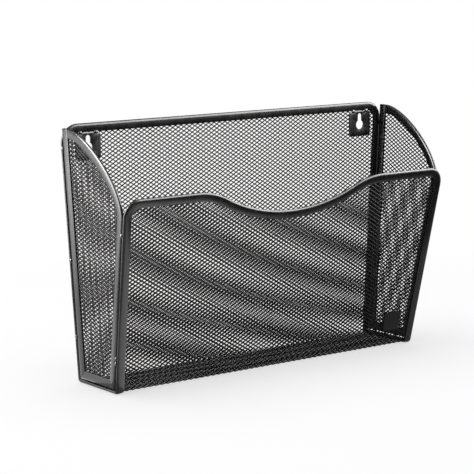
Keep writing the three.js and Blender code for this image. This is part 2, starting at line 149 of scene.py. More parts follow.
class NetSizes(PropertyGroup):
    pitch_across: FloatProperty(
        name="Pitch Across", description="Distance between diamonds side by side",
        default=0.0061, unit="LENGTH")
    pitch_up: FloatProperty(
        name="Pitch Up", description="Distance between diamonds one above another",
        default=0.00365, unit="LENGTH")
    strand: FloatProperty(
        name="Strand Width", description="Width of a strand", default=0.0009, unit="LENGTH")
    thickness: FloatProperty(
        name="Thickness", description="Thickness of the steel", default=0.0005, unit="LENGTH")
    twist: FloatProperty(
        name="Twist", description="How far a strand's edges lie in front of each other",
        default=0.0003, unit="LENGTH")
    hidden_edge: FloatProperty(
        name="Hidden Edge", description="Distance of the net's edge from the channel's outer edge",
        default=0.005, unit="LENGTH")


class PlateSizes(PropertyGroup):
    corner: FloatProperty(
        name="Hanger Corner Radius", description="Corner radius of a hanger plate",
        default=0.003, unit="LENGTH")
    head_radius: FloatProperty(
        name="Keyhole Head Radius", description="Radius of the hole for a screw's head",
        default=0.0045, unit="LENGTH")
    slot_radius: FloatProperty(
        name="Keyhole Slot Radius", description="Half the width of the slot for a screw's neck",
        default=0.0023, unit="LENGTH")
    top_margin: FloatProperty(
        name="Keyhole Top Margin", description="Steel left above the slot",
        default=0.0021, unit="LENGTH")
    drop: FloatProperty(
        name="Keyhole Drop", description="Distance from the slot's end down to the head hole",
        default=0.0085, unit="LENGTH")
    screw_clearance: FloatProperty(
        name="Screw Clearance", description="Room cut into the mesh round a keyhole",
        default=0.001, unit="LENGTH")
    edge_round: FloatProperty(
        name="Stamped Edge Radius", description="Radius of a plate's coated edges",
        default=0.0002, unit="LENGTH")
    badge_corner: FloatProperty(
        name="Badge Corner Radius", description="Corner radius of the badge",
        default=0.001, unit="LENGTH")
    badge_round: FloatProperty(
        name="Badge Edge Radius", description="Radius of the badge's front edge",
        default=0.0004, unit="LENGTH")


class WeldSizes(PropertyGroup):
    length: FloatProperty(
        name="Length", description="Length of a tack weld along its seam",
        default=0.0042, unit="LENGTH")
    width: FloatProperty(
        name="Width", description="Width of a tack weld across its seam",
        default=0.0034, unit="LENGTH")
    lumpiness: FloatProperty(
        name="Lumpiness", description="How uneven the beads are", default=0.12, min=0, max=1)


class CoatFinish(PropertyGroup):
    channel_colour: FloatVectorProperty(
        name="Channel Colour", description="Colour of the powder coat on channels and plates",
        subtype="COLOR", size=3, min=0, max=1, default=(0.0075, 0.006, 0.006))
    mesh_colour: FloatVectorProperty(
        name="Mesh Colour", description="Colour of the powder coat on the mesh",
        subtype="COLOR", size=3, min=0, max=1, default=(0.007, 0.006, 0.006))
    badge_colour: FloatVectorProperty(
        name="Badge Colour", description="Colour of the badge",
        subtype="COLOR", size=3, min=0, max=1, default=(0.005, 0.005, 0.0055))
    roughness: FloatProperty(
        name="Roughness", description="Middle roughness of the powder coat",
        default=0.25, min=0, max=1)
    grain: FloatProperty(
        name="Grain", description="Size of the powder coat's fine ripple",
        default=0.0009, unit="LENGTH")
    ripple: FloatProperty(
        name="Ripple Height", description="Height of the powder coat's fine ripple",
        default=0.00002, unit="LENGTH")


class StageSizes(PropertyGroup):
    lens: FloatProperty(
        name="Lens", description="Focal length of the camera", default=138.74, unit="CAMERA")
    yaw: FloatProperty(
        name="Yaw", description="Turn of the camera round the rack",
        default=math.radians(-36.73), unit="ROTATION")
    pitch: FloatProperty(
        name="Pitch", description="How far the camera looks down",
        default=math.radians(9.03), unit="ROTATION")
    roll: FloatProperty(
        name="Roll", description="Tilt of the camera", default=math.radians(-0.5), unit="ROTATION")
    foot_in_view: FloatVectorProperty(
        name="Foot in View",
        description="Place of the back's foot right, up and away from the camera",
        size=3, default=(-0.0052, -0.1102, 1.7028), unit="LENGTH")
    floor_size: FloatProperty(
        name="Floor Size", description="Width of the floor", default=12.0, unit="LENGTH")
    ambient: FloatProperty(
        name="Ambient", description="Strength of the light from all round", default=0.55, min=0)


class RackSettings(PropertyGroup):
    pocket: PointerProperty(type=PocketSizes)
    channel: PointerProperty(type=ChannelSizes)
    net: PointerProperty(type=NetSizes)
    plates: PointerProperty(type=PlateSizes)
    welds: PointerProperty(type=WeldSizes)
    finish: PointerProperty(type=CoatFinish)
    stage: PointerProperty(type=StageSizes)


# The lines and panels of the rack


CORNER_STEPS = 12
SCOOP_STEPS = 22
ARCH_STEPS = 44
BEND_STEPS = 8
ROUND_STEPS = 8
FACE_STEPS = 4
LIP_STEPS = 3
CHAMFER_RISE = 0.8
PLATE_EDGE_TURN = math.radians(60)


def fillet(before, corner, after, radius):
    start = (before - corner).normalized()
    end = (after - corner).normalized()
    half = start.angle(end) / 2
    centre = corner + (start + end).normalized() * (radius / math.sin(half))
    first = corner + start * (radius / math.tan(half)) - centre
    turn = math.pi - 2 * half
    points = []
    for i in range(CORNER_STEPS + 1):
        arm = first.copy()
        arm.rotate(Matrix.Rotation(turn * i / CORNER_STEPS, 2))
        points.append(centre + arm)
    return points


def mirrored(route):
    back = [Vector((-p.x, p.y)) for p in reversed(route)]
    return route + (back[1:] if route[-1].x == 0 else back)


def mitred_stations(route, closed=False, level_ends=False):
    """A frame on the mitre line at each point: across the channel, through it, along it."""
    def inward(i, j):
        run = (route[j % len(route)] - route[i % len(route)]).normalized()
        return Vector((-run.y, run.x))

    stations = []
    last = len(route) - 1
    for i, point in enumerate(route):
        before = inward(i - 1, i) if i > 0 or closed else None
        after = inward(i, i + 1) if i < last or closed else None
        normal = before or after
        if before and after:
            line = (before + after).normalized()
        else:
            line = Vector((-1, 0)) if level_ends else normal
        mitre = (line / line.dot(normal)).to_3d()
        stations.append(station_at(point.to_3d(), mitre, Vector((0, 0, 1))))
    return stations


def station_at(place, across, through):
    columns = (across, through, across.cross(through), place)
    rows = [[column[row] for column in columns] for row in range(3)]
    return Matrix(rows + [[0, 0, 0, 1]])


class Layout:
    """The panels, worked out from the sizes in the sidebar. Heights start at the underside."""

    def __init__(self, settings):
        self.pocket, self.channel = settings.pocket, settings.channel
        pocket, channel = self.pocket, self.channel
        self.half = channel.thickness / 2
        self.flare_slope = pocket.side_draw_in / pocket.shoulder_height
        self.lean_slope = pocket.front_draw_in / pocket.shoulder_height
        self.flare = math.atan(self.flare_slope)
        self.lean = math.atan(self.lean_slope)
        self.base_width = pocket.shoulder_width - 2 * pocket.side_draw_in
        self.base_depth = pocket.shoulder_depth - pocket.front_draw_in
        self.bend_radius = self.half + pocket.bend_inside
        self.bend_turn = math.pi / 2 - self.lean
        self.front_bend = self.bend_radius * self.bend_turn
        self.side_gap = channel.seam + (1 - math.sqrt(0.5)) * pocket.bend_inside
        centre_height = self.half + self.bend_radius
        front_at = self.base_depth - self.half / math.cos(self.lean) + self.lean_slope * self.half
        self.back_centre = Vector((centre_height, centre_height))
        self.front_centre = Vector((
            front_at - self.bend_radius * math.tan(self.bend_turn / 2), centre_height))
        self.flat = self.front_centre.x - self.back_centre.x
        self.front_foot = centre_height - self.bend_radius * math.sin(self.lean)
        self.back_foot = centre_height

    def half_width_at(self, height):
        return self.base_width / 2 + self.flare_slope * height

    def front_run(self, height):
        return height / math.cos(self.lean)

    def front_frame(self):
        place = (0, self.half / math.cos(self.lean) - self.base_depth, CAD_LOW.z)
        return Matrix.Translation(place) @ Matrix.Rotation(math.pi / 2 + self.lean, 4, "X")

    def back_frame(self):
        return Matrix.Translation((0, -self.half, CAD_LOW.z)) @ Matrix.Rotation(math.pi / 2, 4, "X")

    def side_frame(self, side):
        forward = Vector((0, -1, 0))
        up = Vector((side * math.sin(self.flare), 0, math.cos(self.flare)))
        out = self.base_width / 2 - self.half / math.cos(self.flare)
        return station_at(Vector((side * out, 0, CAD_LOW.z)), forward, up)

    def front_route(self):
        pocket = self.pocket
        top = self.front_run(pocket.shoulder_height)
        depth = self.front_run(pocket.scoop_depth)
        reach = pocket.scoop_span / 2
        turn = 2 * math.atan(depth / reach)
        hollow = pocket.scoop_middle_share * reach / math.sin(turn)
        crown = reach / math.sin(turn) - hollow
        foot = Vector((self.half_width_at(self.front_foot), self.front_run(self.front_foot)))
        corner = Vector((self.half_width_at(pocket.shoulder_height), top))
        shoulder = Vector((reach, top))
        right = [foot, *fillet(foot, corner, shoulder, pocket.front_corner)]
        for i in range(SCOOP_STEPS + 1):
            angle = turn * i / SCOOP_STEPS
            drop = crown * (1 - math.cos(angle))
            right.append(Vector((reach - crown * math.sin(angle), top - drop)))
        for i in reversed(range(SCOOP_STEPS)):
            angle = turn * i / SCOOP_STEPS
            rise = hollow * (1 - math.cos(angle))
            right.append(Vector((hollow * math.sin(angle), top - depth + rise)))
        return mirrored(right)

    def back_route(self):
        height = self.pocket.back_height
        foot = Vector((self.half_width_at(self.back_foot), self.back_foot))
        corner = Vector((self.half_width_at(height), height))
        middle = Vector((0, height))
        return mirrored([foot, *fillet(foot, corner, middle, self.pocket.back_corner)])

    def side_route(self):
        pocket = self.pocket
        start = self.channel.thickness + self.side_gap
        top = (pocket.back_height - pocket.side_top_drop) / math.cos(self.flare)
        slope = self.lean_slope * math.cos(self.flare)
        face = self.base_depth - start / math.cos(self.lean)
        spring_height = pocket.shoulder_height - pocket.arch_drop
        spring = Vector((face + slope * spring_height, spring_height))
        crest = Vector((start + self.channel.width + self.channel.seam / 2, top))
        steep = spring + Vector((slope, 1)).normalized() * (
            pocket.arch_steep_share * (crest.y - spring.y))
        level = crest + Vector((pocket.arch_level_share * (spring.x - crest.x), 0))
        arch = []
        for i in range(ARCH_STEPS + 1):
            t = i / ARCH_STEPS
            arch.append(spring * (1 - t) ** 3 + steep * (3 * t * (1 - t) ** 2)
                        + level * (3 * t * t * (1 - t)) + crest * t ** 3)
        return [
            Vector((start, start)), Vector((face + slope * start, start)), *arch,
            Vector((start, top))]

    def bottom_length(self):
        return self.bend_radius * (self.bend_turn + math.pi / 2) + self.flat

    def bottom_point(self, run):
        """Place and outward direction at a run along the bottom sheet from its front end, each
        as distance from the wall and height."""
        if run < self.front_bend:
            angle = math.pi * 1.5 + self.bend_turn - run / self.bend_radius
            centre = self.front_centre
        elif run < self.front_bend + self.flat:
            angle = math.pi * 1.5
            centre = self.front_centre - Vector((run - self.front_bend, 0))
        else:
            angle = math.pi * 1.5 - (run - self.front_bend - self.flat) / self.bend_radius
            centre = self.back_centre
        outward = Vector((math.cos(angle), math.sin(angle)))
        return centre + outward * self.bend_radius, outward

    def bottom_stations(self, side):
        back_bend = self.bend_radius * math.pi / 2
        runs = [self.front_bend * i / BEND_STEPS for i in range(BEND_STEPS + 1)]
        runs += [
            self.front_bend + self.flat + back_bend * i / BEND_STEPS
            for i in range(BEND_STEPS + 1)]
        stations = []
        for run in runs:
            place, outward = self.bottom_point(run)
            at = Vector((side * self.half_width_at(place.y), -place.x, place.y + CAD_LOW.z))
            stations.append(station_at(
                at, Vector((-side, 0, 0)), Vector((0, -outward.x, outward.y))))
        return stations


def draw_back(stations, amount):
    """Both ends of a run of stations moved in along it, by that amount across their cuts."""
    moved = [station.copy() for station in stations]
    for end, beside in ((0, 1), (-1, -2)):
        run = (moved[beside].translation - moved[end].translation).normalized()
        slant = run.cross(moved[end].col[0].to_3d().normalized()).length
        moved[end].translation += run * (amount / slant)
    return moved


def inset_outline(stations, distance):
    return [(s.translation + s.col[0].to_3d() * distance).to_2d() for s in stations]


# Channels


def closed_loop(bm, points):
    verts = [bm.verts.new(point) for point in points]
    for vert, following in zip(verts, verts[1:] + verts[:1]):
        bm.edges.new((vert, following))
    return verts


def channel_ring(bm, channel):
    """The channel's closed section: a rounded closed edge at 0, and a face on both sides that
    is drawn in towards the lips."""
    half = channel.thickness / 2
    reach = channel.round
    outer = []
    for i in range(ROUND_STEPS):
        turn = math.pi / 2 * i / ROUND_STEPS
        outer.append((reach * (1 - math.cos(turn)), half * math.sin(turn)))
    for i in range(FACE_STEPS + 1):
        t = i / FACE_STEPS
        outer.append((reach + (channel.width - reach) * t, half - channel.draw_in * t * t))
    lip = half - channel.draw_in - channel.wall
    inner = [(channel.width, lip), (reach, half - channel.wall), (channel.wall, 0)]
    lower = [(across, -through) for across, through in reversed((*outer[1:], *inner[:-1]))]
    verts = closed_loop(bm, [(*point, 0) for point in (*outer, *inner, *lower)])
    lip_at = ROUND_STEPS + FACE_STEPS
    bmesh.ops.bevel(
        bm, geom=[verts[lip_at], verts[-lip_at]], offset=channel.lip_round, segments=LIP_STEPS,
        profile=0.5, affect="VERTICES", material=-1)
    return list(bm.verts), list(bm.edges)


def channel_mesh(name, channel, stations, end_chamfer=0.0):
    """The channel's section carried along the stations, with closed ends."""
    bm = bmesh.new()
    verts, edges = channel_ring(bm, channel)
    bmesh.ops.transform(bm, matrix=stations[0], verts=verts)
    ends = [edges]
    for here, there in zip(stations, stations[1:]):
        grown = bmesh.ops.extrude_edge_only(bm, edges=edges)["geom"]
        verts = [g for g in grown if isinstance(g, bmesh.types.BMVert)]
        edges = [g for g in grown if isinstance(g, bmesh.types.BMEdge)]
        edges = [e for e in edges if e.verts[0] in verts and e.verts[1] in verts]
        bmesh.ops.transform(bm, matrix=there @ here.inverted(), verts=verts)
    ends.append(edges)
    caps = [bmesh.ops.contextual_create(bm, geom=end)["faces"][0] for end in ends]
    bmesh.ops.recalc_face_normals(bm, faces=bm.faces[:])
    if end_chamfer:
        bmesh.ops.inset_region(
            bm, faces=caps, thickness=end_chamfer, depth=end_chamfer * CHAMFER_RISE,
            use_boundary=True, use_even_offset=True)
    return finished_mesh(name, bm, smooth_angle=30)


def finished_mesh(name, bm, smooth_angle=None):
    mesh = bpy.data.meshes.new(name)
    bm.to_mesh(mesh)
    bm.free()
    if smooth_angle:
        mesh.shade_smooth()
        mesh.set_sharp_from_angle(angle=math.radians(smooth_angle))
    return mesh


def add_piece(mesh, material, slot, *nodes):
    """Shows the mesh in place of the nodes, on the rack's one body."""
    piece = bpy.data.objects.new(mesh.name, mesh)
    bpy.context.scene.collection.objects.link(piece)
    mesh.materials.clear()
    mesh.materials.append(material)
    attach(piece, "root")
    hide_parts(*nodes)
    return piece


def add_channel(node, channel, coat, stations, end_chamfer=0.0):
    mesh = channel_mesh(f"{node}_steel", channel, stations, end_chamfer)
    add_piece(mesh, coat, "channel_coat", node)


# Expanded mesh


def inside_outline(points, outline):
    inside = np.zeros(len(points), bool)
    for a, b in zip(outline, outline[1:] + outline[:1]):
        if a.y == b.y:
            continue
        crosses = (a.y > points[:, 1]) != (b.y > points[:, 1])
        at = (b.x - a.x) * (points[:, 1] - a.y) / (b.y - a.y) + a.x
        inside ^= crosses & (points[:, 0] < at)
    return inside


def face_centres(faces):
    return np.array([face.calc_center_median()[:2] for face in faces])


def drop_islands(bm):
    """Deletes the strands that no longer hang together with the largest part of the net."""
    left = set(bm.faces)
    largest = set()
    while left:
        island, frontier = set(), [left.pop()]
        while frontier:
            face = frontier.pop()
            island.add(face)
            for edge in face.edges:
                for beside in edge.link_faces:
                    if beside in left:
                        left.remove(beside)
                        frontier.append(beside)
        if len(island) > len(largest):
            largest = island
    stray = [face for face in bm.faces if face not in largest]
    bmesh.ops.delete(bm, geom=stray, context="FACES")


def flat_net(net, outline, low_row, middle_x=0.0, odd=False, pitch_up=None, clear=()):
    """A net of diamonds in the plane, with a row of bonds on low_row. Odd shifts it sideways by
    half a diamond. Strands stay where their middle is inside the outline, above low_row and out
    of the clear holes."""
    pitch_up = pitch_up or net.pitch_up
    low = Vector((min(p.x for p in outline), min(p.y for p in outline)))
    high = Vector((max(p.x for p in outline), max(p.y for p in outline)))
    rows = round((low.y + high.y - 2 * low_row) / 2 / pitch_up) * 2 + odd
    middle = Vector((middle_x, low_row + rows * pitch_up / 2))
    reach = (high.x - low.x) / 2 / net.pitch_across + (high.y - low.y) / 2 / pitch_up
    count = 2 * math.ceil(reach + 2)
    bm = bmesh.new()
    bmesh.ops.create_grid(bm, x_segments=count, y_segments=count, size=count / 2)
    stretch = Matrix.Diagonal((net.pitch_across, pitch_up, 1, 1)) @ Matrix.Diagonal(
        (math.sqrt(0.5), math.sqrt(0.5), 1, 1))
    bmesh.ops.transform(
        bm, matrix=Matrix.Translation(middle.to_3d()) @ stretch @ Matrix.Rotation(
            math.radians(45), 4, "Z"), verts=bm.verts[:])
    margin = net.pitch_across
    outside = [
        face for face, (x, y) in zip(bm.faces, face_centres(bm.faces))
        if not (low.x - margin < x < high.x + margin and low.y - margin < y < high.y + margin)]
    bmesh.ops.delete(bm, geom=outside, context="FACES")
    strands = set(bmesh.ops.inset_individual(
        bm, faces=bm.faces[:], thickness=net.strand / 2, use_even_offset=True)["faces"])
    gaps = [face for face in bm.faces if face not in strands]
    for gap in gaps:
        max(gap.verts, key=lambda vert: vert.co.y).co.z += net.twist
        min(gap.verts, key=lambda vert: vert.co.y).co.z -= net.twist
    bmesh.ops.delete(bm, geom=gaps, context="FACES_ONLY")
    faces = bm.faces[:]
    centres = face_centres(faces)
    keep = inside_outline(centres, outline) & (centres[:, 1] > low_row)
    for bottom, top, radius in clear:
        beside = centres[:, 1].clip(bottom.y, top.y) - centres[:, 1]
        keep &= np.hypot(centres[:, 0] - bottom.x, beside) > radius
    dropped = [face for face, kept in zip(faces, keep) if not kept]
    bmesh.ops.delete(bm, geom=dropped, context="FACES")
    drop_islands(bm)
    bmesh.ops.translate(bm, vec=(0, 0, net.thickness / 2), verts=bm.verts[:])
    bmesh.ops.solidify(bm, geom=bm.faces[:], thickness=net.thickness)
    return bm


def skirted_outline(route, net):
    """The outline of the net inside an open route, carried down below the route's feet."""
    outline = inset_outline(mitred_stations(route, level_ends=True), net.hidden_edge)
    drop = Vector((0, net.pitch_up))
    return [outline[0] - drop, *outline, outline[-1] - drop]


# Plates and welds


def arc_points(centre, radius, start, turn, steps):
    return [
        centre + Vector((math.cos(start + turn * i / steps), math.sin(start + turn * i / steps)))
        * radius for i in range(steps + 1)]


def rounded_rectangle(width, height, radius, steps=8):
    points = []
    for turn, (x, y) in enumerate(((1, 1), (-1, 1), (-1, -1), (1, -1))):
        centre = Vector((x * (width / 2 - radius), y * (height / 2 - radius)))
        points += arc_points(centre, radius, turn * math.pi / 2, math.pi / 2, steps)
    return points


def keyhole_outline(plates, head_at, steps=20):
    meet = math.acos(plates.slot_radius / plates.head_radius)
    slot = arc_points(
        head_at + Vector((0, plates.drop)), plates.slot_radius, 0, math.pi, steps // 2)
    head = arc_points(head_at, plates.head_radius, math.pi - meet, math.pi + 2 * meet, steps)
    return slot + head


def plate_mesh(name, loops, thickness, edge_round, edge_steps=2):
    """A flat plate that fills between closed outlines, from z = 0 up, with rounded edges."""
    bm = bmesh.new()
    for loop in loops:
        closed_loop(bm, [point.to_3d() for point in loop])
    bmesh.ops.triangle_fill(bm, edges=bm.edges[:], use_beauty=True)
    grown = bmesh.ops.extrude_face_region(bm, geom=bm.faces[:])["geom"]
    top = [g for g in grown if isinstance(g, bmesh.types.BMVert)]
    bmesh.ops.translate(bm, vec=(0, 0, thickness), verts=top)
    bmesh.ops.recalc_face_normals(bm, faces=bm.faces[:])
    rims = [e for e in bm.edges if e.calc_face_angle(0) > PLATE_EDGE_TURN]
    bmesh.ops.bevel(
        bm, geom=rims, offset=edge_round, segments=edge_steps, profile=0.5, affect="EDGES",
        material=-1, clamp_overlap=True)
    return finished_mesh(name, bm, smooth_angle=40)


# Lumps on a bead of radius 1, and its half height and how deep it sits as shares of its node
LUMP_SCALE = 1.7
LUMP_SHIFT = 7.3
BEAD_REACH = 1.25
BEAD_SINK = 0.75


def weld_mesh(name, node, rotation, normal, welds, seed):
    """An uneven flattened bead over the seam that the node's dome bridges."""
    low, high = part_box(node)
    centre = (low + high) / 2
    height = min(high - low)
    bm = bmesh.new()
    bmesh.ops.create_icosphere(bm, subdivisions=3, radius=1)
    for vert in bm.verts:
        lump = noise.noise(vert.co * LUMP_SCALE + Vector((seed * LUMP_SHIFT, 0, 0)))
        vert.co *= 1 + welds.lumpiness * lump
    size = Matrix.Diagonal((welds.width / 2, welds.length / 2, height * BEAD_REACH, 1))
    base = Matrix.Translation(centre - normal * (height * BEAD_SINK))
    bmesh.ops.transform(bm, matrix=base @ rotation.to_4x4() @ size, verts=bm.verts[:])
    bmesh.ops.recalc_face_normals(bm, faces=bm.faces[:])
    return finished_mesh(name, bm, smooth_angle=80)


# Finishes


CHANNEL_SPECULAR = 0.25
MESH_SPECULAR = 0.03
WELD_SPECULAR = 0.4
BADGE_SPECULAR = 0.12

# The powder coat's mottling: shares of its colour, and steps from its roughness
TINT_SCALE, TINT_LOW, TINT_HIGH = 45, 0.8, 1.25
GLOSS_SCALE, GLOSS_BELOW, GLOSS_ABOVE = 160, 0.04, 0.05
WELD_RIPPLE = 3
MESH_RIPPLE = 0.5

# The badge's rub marks in its roughness, and the swell of its surface
RUB_SCALE, RUB_LOW, RUB_HIGH = 420, 0.2, 0.3
SWELL_SCALE, SWELL_HEIGHT = 150, 0.00003

# The floor fades into the white between two distances from the origin
FLOOR_WHITE = (0.92, 0.92, 0.92, 1)
FADE_START, FADE_END, FADE_LEAST = 0.35, 0.75, 0.6


class Graph:
    """The shader nodes of a material or of the world."""

    def __init__(self, owner):
        owner.use_nodes = True
        self.nodes, self.links = owner.node_tree.nodes, owner.node_tree.links

    def add(self, kind, output, inputs=(), **settings):
        """The named output of a new node whose inputs are set to values or linked to outputs."""
        node = self.nodes.new(f"ShaderNode{kind}")
        for name, value in settings.items():
            setattr(node, name, value)
        for socket, value in dict(inputs).items():
            if isinstance(value, bpy.types.NodeSocket):
                self.links.new(value, node.inputs[socket])
            else:
                node.inputs[socket].default_value = value
        return node.outputs[output] if output else node

    def noise_field(self, scale, detail=2.0):
        place = self.add("TexCoord", "Object")
        return self.add("TexNoise", "Fac", {"Vector": place, "Scale": scale, "Detail": detail})

    def mapped(self, value, low, high, from_low=0.3, from_high=0.7, **settings):
        return self.add("MapRange", "Result", {
            "Value": value, "From Min": from_low, "From Max": from_high,
            "To Min": low, "To Max": high}, **settings)

    def seen_by_eye(self):
        """One where a ray comes from the camera, a reflection or a view through glass."""
        paths = self.add("LightPath", None)
        total = paths.outputs["Is Camera Ray"]
        for kind in ("Is Glossy Ray", "Is Transmission Ray"):
            total = self.add(
                "Math", "Value", {0: total, 1: paths.outputs[kind]}, operation="MAXIMUM")
        return total

    def coat(self, colour, roughness, specular, grain, ripple):
        """A coat with a ripple in its surface: the grain's height field and how high it is."""
        normal = self.add("Bump", "Normal", {"Distance": ripple, "Height": grain})
        self.show(self.add("BsdfPrincipled", "BSDF", {
            "Base Color": colour, "Roughness": roughness, "Specular IOR Level": specular,
            "Normal": normal}))

    def show(self, surface):
        self.add("OutputMaterial", None, {"Surface": surface})


def empty_material(name):
    material = bpy.data.materials.get(name) or bpy.data.materials.new(name)
    graph = Graph(material)
    graph.nodes.clear()
    return material, graph


def powder_coat(name, finish, colour, specular, ripple):
    """Black powder coat: a fine ripple, soft mottling of the gloss and of the colour."""
    material, graph = empty_material(name)
    broad = graph.mapped(graph.noise_field(TINT_SCALE), 0, 1)
    tint = graph.add("Mix", "Result", {
        "Factor": broad,
        "A": (*[part * TINT_LOW for part in colour], 1),
        "B": (*[part * TINT_HIGH for part in colour], 1),
    }, data_type="RGBA")
    gloss = graph.mapped(
        graph.noise_field(GLOSS_SCALE, detail=4),
        finish.roughness - GLOSS_BELOW, finish.roughness + GLOSS_ABOVE)
    grain = graph.noise_field(1 / finish.grain, detail=1)
    graph.coat(tint, gloss, specular, grain, ripple)
    return material


def gloss_badge(finish):
    """The badge's moulded gloss black, with faint rub marks in the gloss."""
    material, graph = empty_material("badge_gloss_black")
    rubs = graph.mapped(graph.noise_field(RUB_SCALE, detail=5), RUB_LOW, RUB_HIGH)
    swell = graph.noise_field(SWELL_SCALE, detail=1)
    graph.coat((*finish.badge_colour, 1), rubs, BADGE_SPECULAR, swell, SWELL_HEIGHT)
    return material


def channel_coat(finish):
    return powder_coat(
        "channel_black_coat", finish, finish.channel_colour, CHANNEL_SPECULAR, finish.ripple)


def mesh_coat(finish):
    return powder_coat(
        "mesh_black_coat", finish, finish.mesh_colour, MESH_SPECULAR, finish.ripple * MESH_RIPPLE)


def weld_coat(finish):
    return powder_coat(
        "weld_black_coat", finish, finish.channel_colour, WELD_SPECULAR,
        finish.ripple * WELD_RIPPLE)


def floor_white():
    """Near-white floor that fades into the white background, and is clear from below."""
    material, graph = empty_material("studio_floor_white")
    place = graph.add("NewGeometry", "Position")
    distance = graph.add("VectorMath", "Value", {0: place}, operation="LENGTH")
    fade = graph.mapped(
        distance, FADE_LEAST, 1, FADE_START, FADE_END, interpolation_type="SMOOTHSTEP")
    blend = graph.add("MixShader", "Shader", {
        "Fac": graph.add("Math", "Value", {0: fade, 1: graph.seen_by_eye()}, operation="MULTIPLY"),
        1: graph.add("BsdfDiffuse", "BSDF", {"Color": FLOOR_WHITE}),
        2: graph.add("Emission", "Emission", {"Strength": 1.0}),
    })
    graph.show(graph.add("MixShader", "Shader", {
        "Fac": graph.add("NewGeometry", "Backfacing"),
        1: blend,
        2: graph.add("BsdfTransparent", "BSDF"),
    }))
    return material


# Stage


Card = namedtuple("Card", "name place aim width height glow_low glow_high", defaults=(0, 0))

MIDDLE = (0, -0.04, -0.1)
LEFT_SIDE = (-0.17, -0.03, -0.06)
FLOOR_GAP = 0.0003
SENSOR_WIDTH = 36
CAMERA_REACH = 50

# What the coat mirrors: cards that glow for its highlights, and black flags for its dark faces
CARDS = (
    Card("left_card", (-0.425, 0.23, -0.17), (-0.18, -0.03, -0.12), 0.17, 0.2, 0, 14),
    Card("lip_card", (-0.327, 0.298, -0.06), LEFT_SIDE, 0.12, 0.32, 3, 3),
    Card("strip_card", (-0.553, 0.066, 0.1), (-0.17, -0.03, 0.1), 0.34, 0.7, 4, 80),
    Card("inner_flag", (-0.04, 0.32, -0.02), (0.17, -0.06, -0.02), 0.4, 0.4),
    Card("front_flag", (-0.42, -0.38, -0.05), LEFT_SIDE, 0.9, 0.45),
    Card("back_flag", (0.35, 0.6, 0.3), MIDDLE, 1.4, 1.0),
    Card("edge_card", (0.7, -0.6, 0.45), MIDDLE, 1.3, 0.8, 24, 24),
    Card("foot_card", (-0.27, 0.1, -0.215), (-0.268, 0.097, -0.115), 0.2, 0.32, 2.5, 2.5),
    Card("rail_flag", (0.4, -0.55, -0.21), (0.4, -0.55, 0), 0.75, 0.65),
    Card("stile_card", (-0.024, -0.212, -0.2225), (-0.0244, -0.2117, -0.1225), 0.16, 0.38,
         3.2, 3.2),
)


def turned_to(place, aim):
    """A matrix at the place with its -Z axis on the aim."""
    away = Vector(place) - Vector(aim)
    return Matrix.Translation(place) @ away.to_track_quat("Z", "Y").to_matrix().to_4x4()


def set_world(ambient):
    world = bpy.data.worlds.new("studio_white")
    bpy.context.scene.world = world
    graph = Graph(world)
    strength = graph.mapped(graph.seen_by_eye(), ambient, 1, 0, 1)
    background = graph.nodes["Background"]
    background.inputs["Color"].default_value = (1, 1, 1, 1)
    graph.links.new(strength, background.inputs["Strength"])


def add_lamp(name, place, aim, width, height, radiance):
    """A soft rectangular lamp of an even brightness, pointed at the aim."""
    lamp = bpy.data.lights.new(name, "AREA")
    lamp.shape = "RECTANGLE"
    lamp.size, lamp.size_y = width, height
    lamp.energy = radiance * width * height * math.pi
    holder = bpy.data.objects.new(name, lamp)
    bpy.context.scene.collection.objects.link(holder)
    holder.matrix_world = turned_to(place, aim)
    holder.visible_camera = False


def add_card(card):
    """A sheet that only reflections show, a painted reflection: it glows from its lower to its
    upper edge as a painted highlight, or is black as painted shade."""
    bm = bmesh.new()
    bmesh.ops.create_grid(bm, x_segments=1, y_segments=1, size=0.5)
    size = Matrix.Diagonal((card.width, card.height, 1, 1))
    bmesh.ops.transform(bm, matrix=turned_to(card.place, card.aim) @ size, verts=bm.verts[:])
    heights = [vert.co.z for vert in bm.verts]
    material, graph = empty_material(f"{card.name}_painted_reflection")
    place = graph.add("TexCoord", "Object")
    height = graph.add("SeparateXYZ", "Z", {"Vector": place})
    glow = graph.mapped(height, card.glow_low, card.glow_high, min(heights), max(heights))
    # The glow lights no surface and casts no shadow. It is a painted highlight in the coat's
    # reflections, or painted shade where it is black.
    graph.show(graph.add("Emission", "Emission", {"Strength": glow}))
    sheet = bpy.data.objects.new(card.name, finished_mesh(card.name, bm))
    sheet.data.materials.append(material)
    bpy.context.scene.collection.objects.link(sheet)
    for kind in ("camera", "diffuse", "transmission", "shadow"):
        setattr(sheet, f"visible_{kind}", False)


def add_camera(stage):
    yaw, pitch = stage.yaw, stage.pitch
    back = Vector((
        math.sin(yaw) * math.cos(pitch), -math.cos(yaw) * math.cos(pitch), math.sin(pitch)))
    right = (-back).cross(Vector((0, 0, 1))).normalized()
    turn = Matrix.Rotation(stage.roll, 3, back)
    right = turn @ right
    up = back.cross(right)
    foot = Vector((0, 0, CAD_LOW.z))
    across, rise, away = stage.foot_in_view
    place = foot - right * across - up * rise + back * away
    camera = bpy.data.objects.new("photo_camera", bpy.data.cameras.new("photo_camera"))
    camera.data.lens = stage.lens
    camera.data.sensor_width = SENSOR_WIDTH
    camera.data.clip_end = CAMERA_REACH
    camera.matrix_world = Matrix((
        (right.x, up.x, back.x, place.x),
        (right.y, up.y, back.y, place.y),
        (right.z, up.z, back.z, place.z),
        (0, 0, 0, 1),
    ))
    bpy.context.scene.collection.objects.link(camera)
    bpy.context.scene.camera = camera


# Operators, one for each group of like pieces and one for the stage


